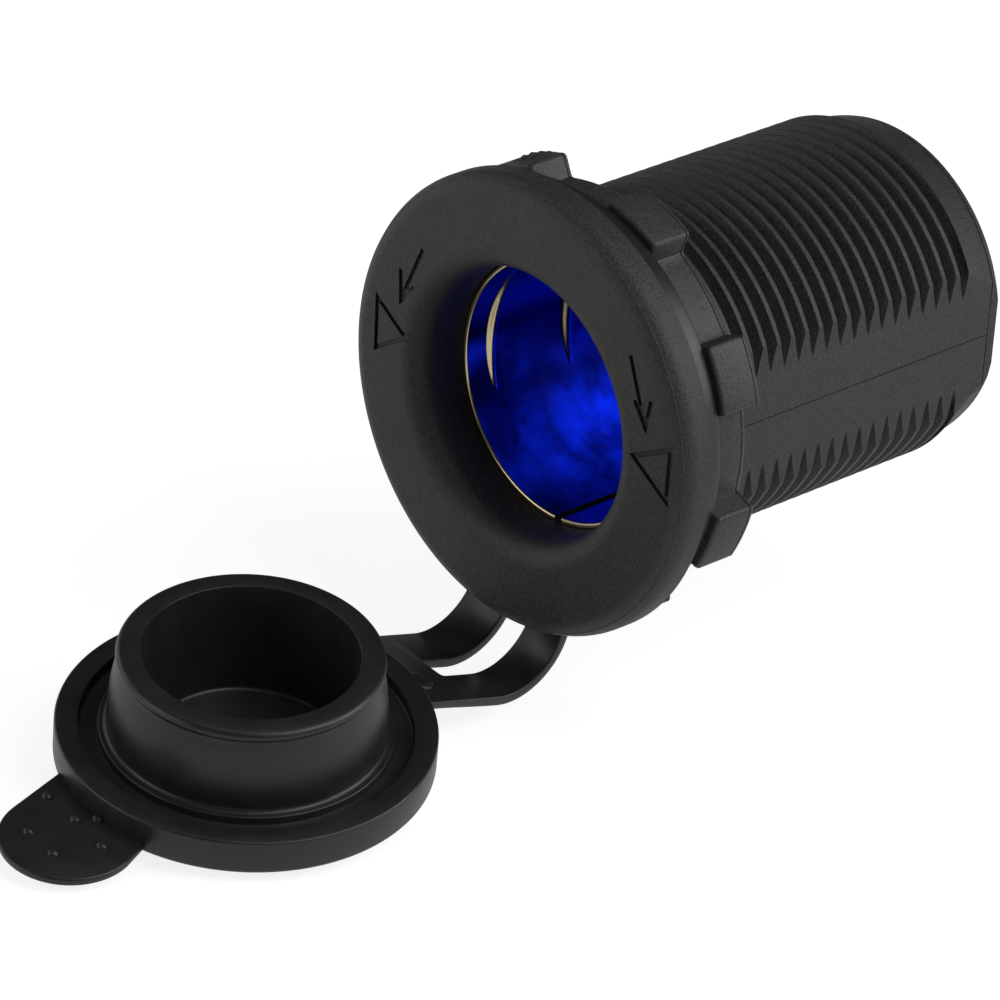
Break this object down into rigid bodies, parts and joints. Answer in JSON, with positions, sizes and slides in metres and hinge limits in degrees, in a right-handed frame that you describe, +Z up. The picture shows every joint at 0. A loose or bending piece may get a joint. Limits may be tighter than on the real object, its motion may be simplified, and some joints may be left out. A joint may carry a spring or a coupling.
{
  "type": "12 volt panel power socket",
  "caption": "Round 12 volt power socket for a panel, with a threaded barrel, lugged lock nut, plated contact shell and a rubber dust cap on two straps.",
  "frame": {"origin": "on the barrel's axis at the rear face of the flange, where the panel's cut-out lies", "axes": "+Y along the barrel into the panel, +Z up, +X to the right as seen from the front; the straps leave at the bottom"},
  "size_m": [0.0372, 0.0951, 0.0441],
  "materials": {
    "moulded_nylon": "fine moulded satin",
    "nut_nylon": "moulded satin",
    "plated_shell": "bright nickel plate on rolled sheet",
    "insulator": "milky moulded",
    "brass": "turned",
    "tinned_steel": "tinned strip",
    "circuit_board": "solder mask",
    "resistor_body": "plain",
    "blue_light": "lit blue epoxy",
    "cap_rubber": "fine matt, moulded"
  },
  "bodies": {
    "socket": {"housing": "moulded_nylon", "contact_shell": "plated_shell", "base_insulator": "insulator", "centre_contact": "brass", "centre_rivet": "brass", "front_sleeve": "insulator", "rear_sleeve": "brass", "led_board": "circuit_board", "led": "blue_light", "led_leads": "tinned_steel", "led_resistor": "resistor_body", "negative_terminal": "tinned_steel", "negative_rivet": "brass", "positive_terminal": "tinned_steel", "backing_washer": "tinned_steel", "rear_cap": "moulded_nylon", "cap_collar": "cap_rubber", "cap_straps": "cap_rubber"},
    "nut": {"lock_nut": "nut_nylon"},
    "cap": {"cap_lid": "cap_rubber"}
  },
  "joints": [
    {"name": "nut_spin", "type": "hinge", "parent": "socket", "child": "nut", "pos_m": [0, 0.0039, 0], "axis": [0, 1, 0], "continuous": true},
    {"name": "cap_swing", "type": "hinge", "parent": "socket", "child": "cap", "pos_m": [-0.00231, -0.00577, -0.02124], "axis": [-0.9942, 0, 0.108], "range_deg": [0, 94.85], "stiffness_Nm_per_rad": 0.01, "deforming": ["cap_straps"]}
  ]
}
